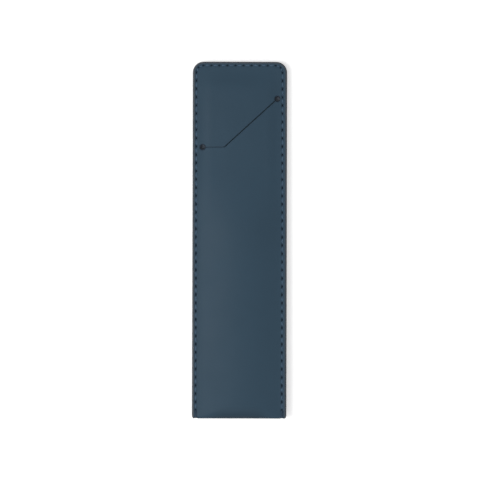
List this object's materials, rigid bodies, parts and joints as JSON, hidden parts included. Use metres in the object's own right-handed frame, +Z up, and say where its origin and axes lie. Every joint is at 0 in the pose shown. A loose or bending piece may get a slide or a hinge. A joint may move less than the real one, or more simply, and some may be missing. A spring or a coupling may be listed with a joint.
{
  "type": "single pen sleeve",
  "caption": "Slim folded leather sleeve for one pen, sewn along both sides and its closed top, with a cranked slit as its mouth.",
  "frame": {"origin": "centre of the bounding box on the table, under the back panel", "axes": "+Z up, out of the front panel; +Y along the sleeve to its closed, sewn top; +X to the right seen from the front"},
  "size_m": [0.0424, 0.16, 0.0074],
  "materials": {
    "leather": "smooth, satin, fine grain",
    "thread": "waxed, twisted"
  },
  "bodies": {
    "sleeve": {"back_panel": "leather", "bottom_fold": "leather", "front_panel": "leather", "needle_thread": "thread", "bobbin_thread": "thread"},
    "flap": {"entry_flap": "leather"}
  },
  "joints": [
    {"name": "flap_bend", "type": "hinge", "parent": "sleeve", "child": "flap", "pos_m": [0.00005, 0.05247, 0.00448], "axis": [-0.8393, -0.5436, 0.0054], "range_deg": [-18, 60], "stiffness_Nm_per_rad": 0.0005}
  ]
}
